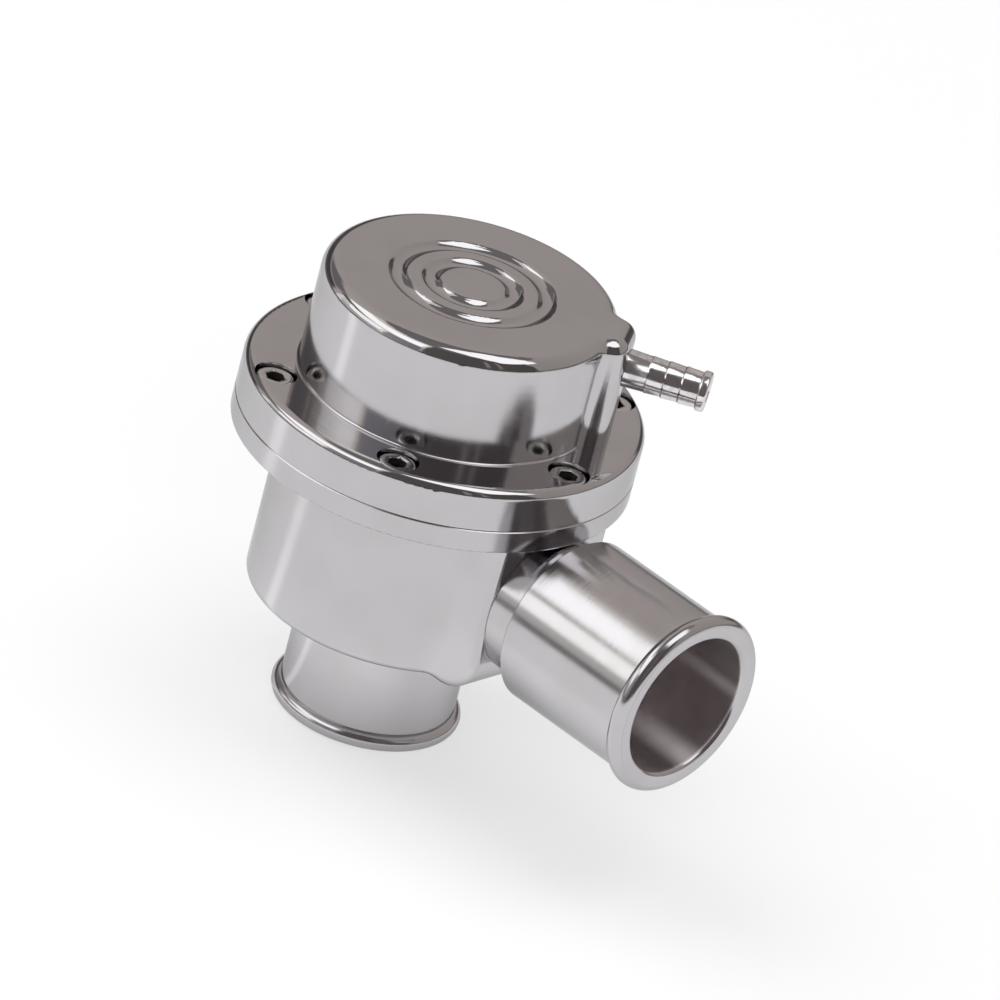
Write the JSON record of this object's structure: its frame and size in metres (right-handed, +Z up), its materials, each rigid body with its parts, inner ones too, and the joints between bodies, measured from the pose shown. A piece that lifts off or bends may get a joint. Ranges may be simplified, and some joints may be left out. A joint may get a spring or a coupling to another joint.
{
  "type": "blow off valve",
  "caption": "Round aluminium diaphragm valve with a hose stub below, a hose port at its side, a flanged screwed-down cap with turned rings and a barbed vacuum nipple.",
  "frame": {"origin": "centre of the inlet stub's mouth, on the plane it stands on", "axes": "+Z up the valve's axis towards the cap, +X along the side port's axis towards its mouth"},
  "size_m": [0.0838, 0.057, 0.0683],
  "materials": {
    "polished_aluminium": "polished",
    "turned_aluminium": "turned",
    "stainless_steel": "bright",
    "spring_steel": "drawn",
    "bronze": "satin",
    "rubber": "matte"
  },
  "bodies": {
    "housing": {"body": "polished_aluminium", "side_port": "polished_aluminium", "cap": "polished_aluminium", "vacuum_nipple": "polished_aluminium", "cap_screw_1": "stainless_steel", "cap_screw_2": "stainless_steel", "cap_screw_3": "stainless_steel", "cap_screw_4": "stainless_steel", "cap_screw_5": "stainless_steel", "cap_screw_6": "stainless_steel", "guide_bush": "bronze", "diaphragm": "rubber", "return_spring": "spring_steel"},
    "valve": {"valve_stem": "stainless_steel", "valve_head": "turned_aluminium", "valve_seal": "rubber", "seal_retainer": "turned_aluminium", "head_nut": "stainless_steel", "lower_plate": "turned_aluminium", "spring_cup": "turned_aluminium", "stem_washer": "stainless_steel", "diaphragm_nut": "stainless_steel"}
  },
  "joints": [
    {"name": "valve_lift", "type": "slide", "parent": "housing", "child": "valve", "axis": [0, 0, 1], "range_m": [0, 0.005], "stiffness_N_per_m": 2000, "springref_m": -0.01, "deforming": ["return_spring", "diaphragm"]}
  ]
}
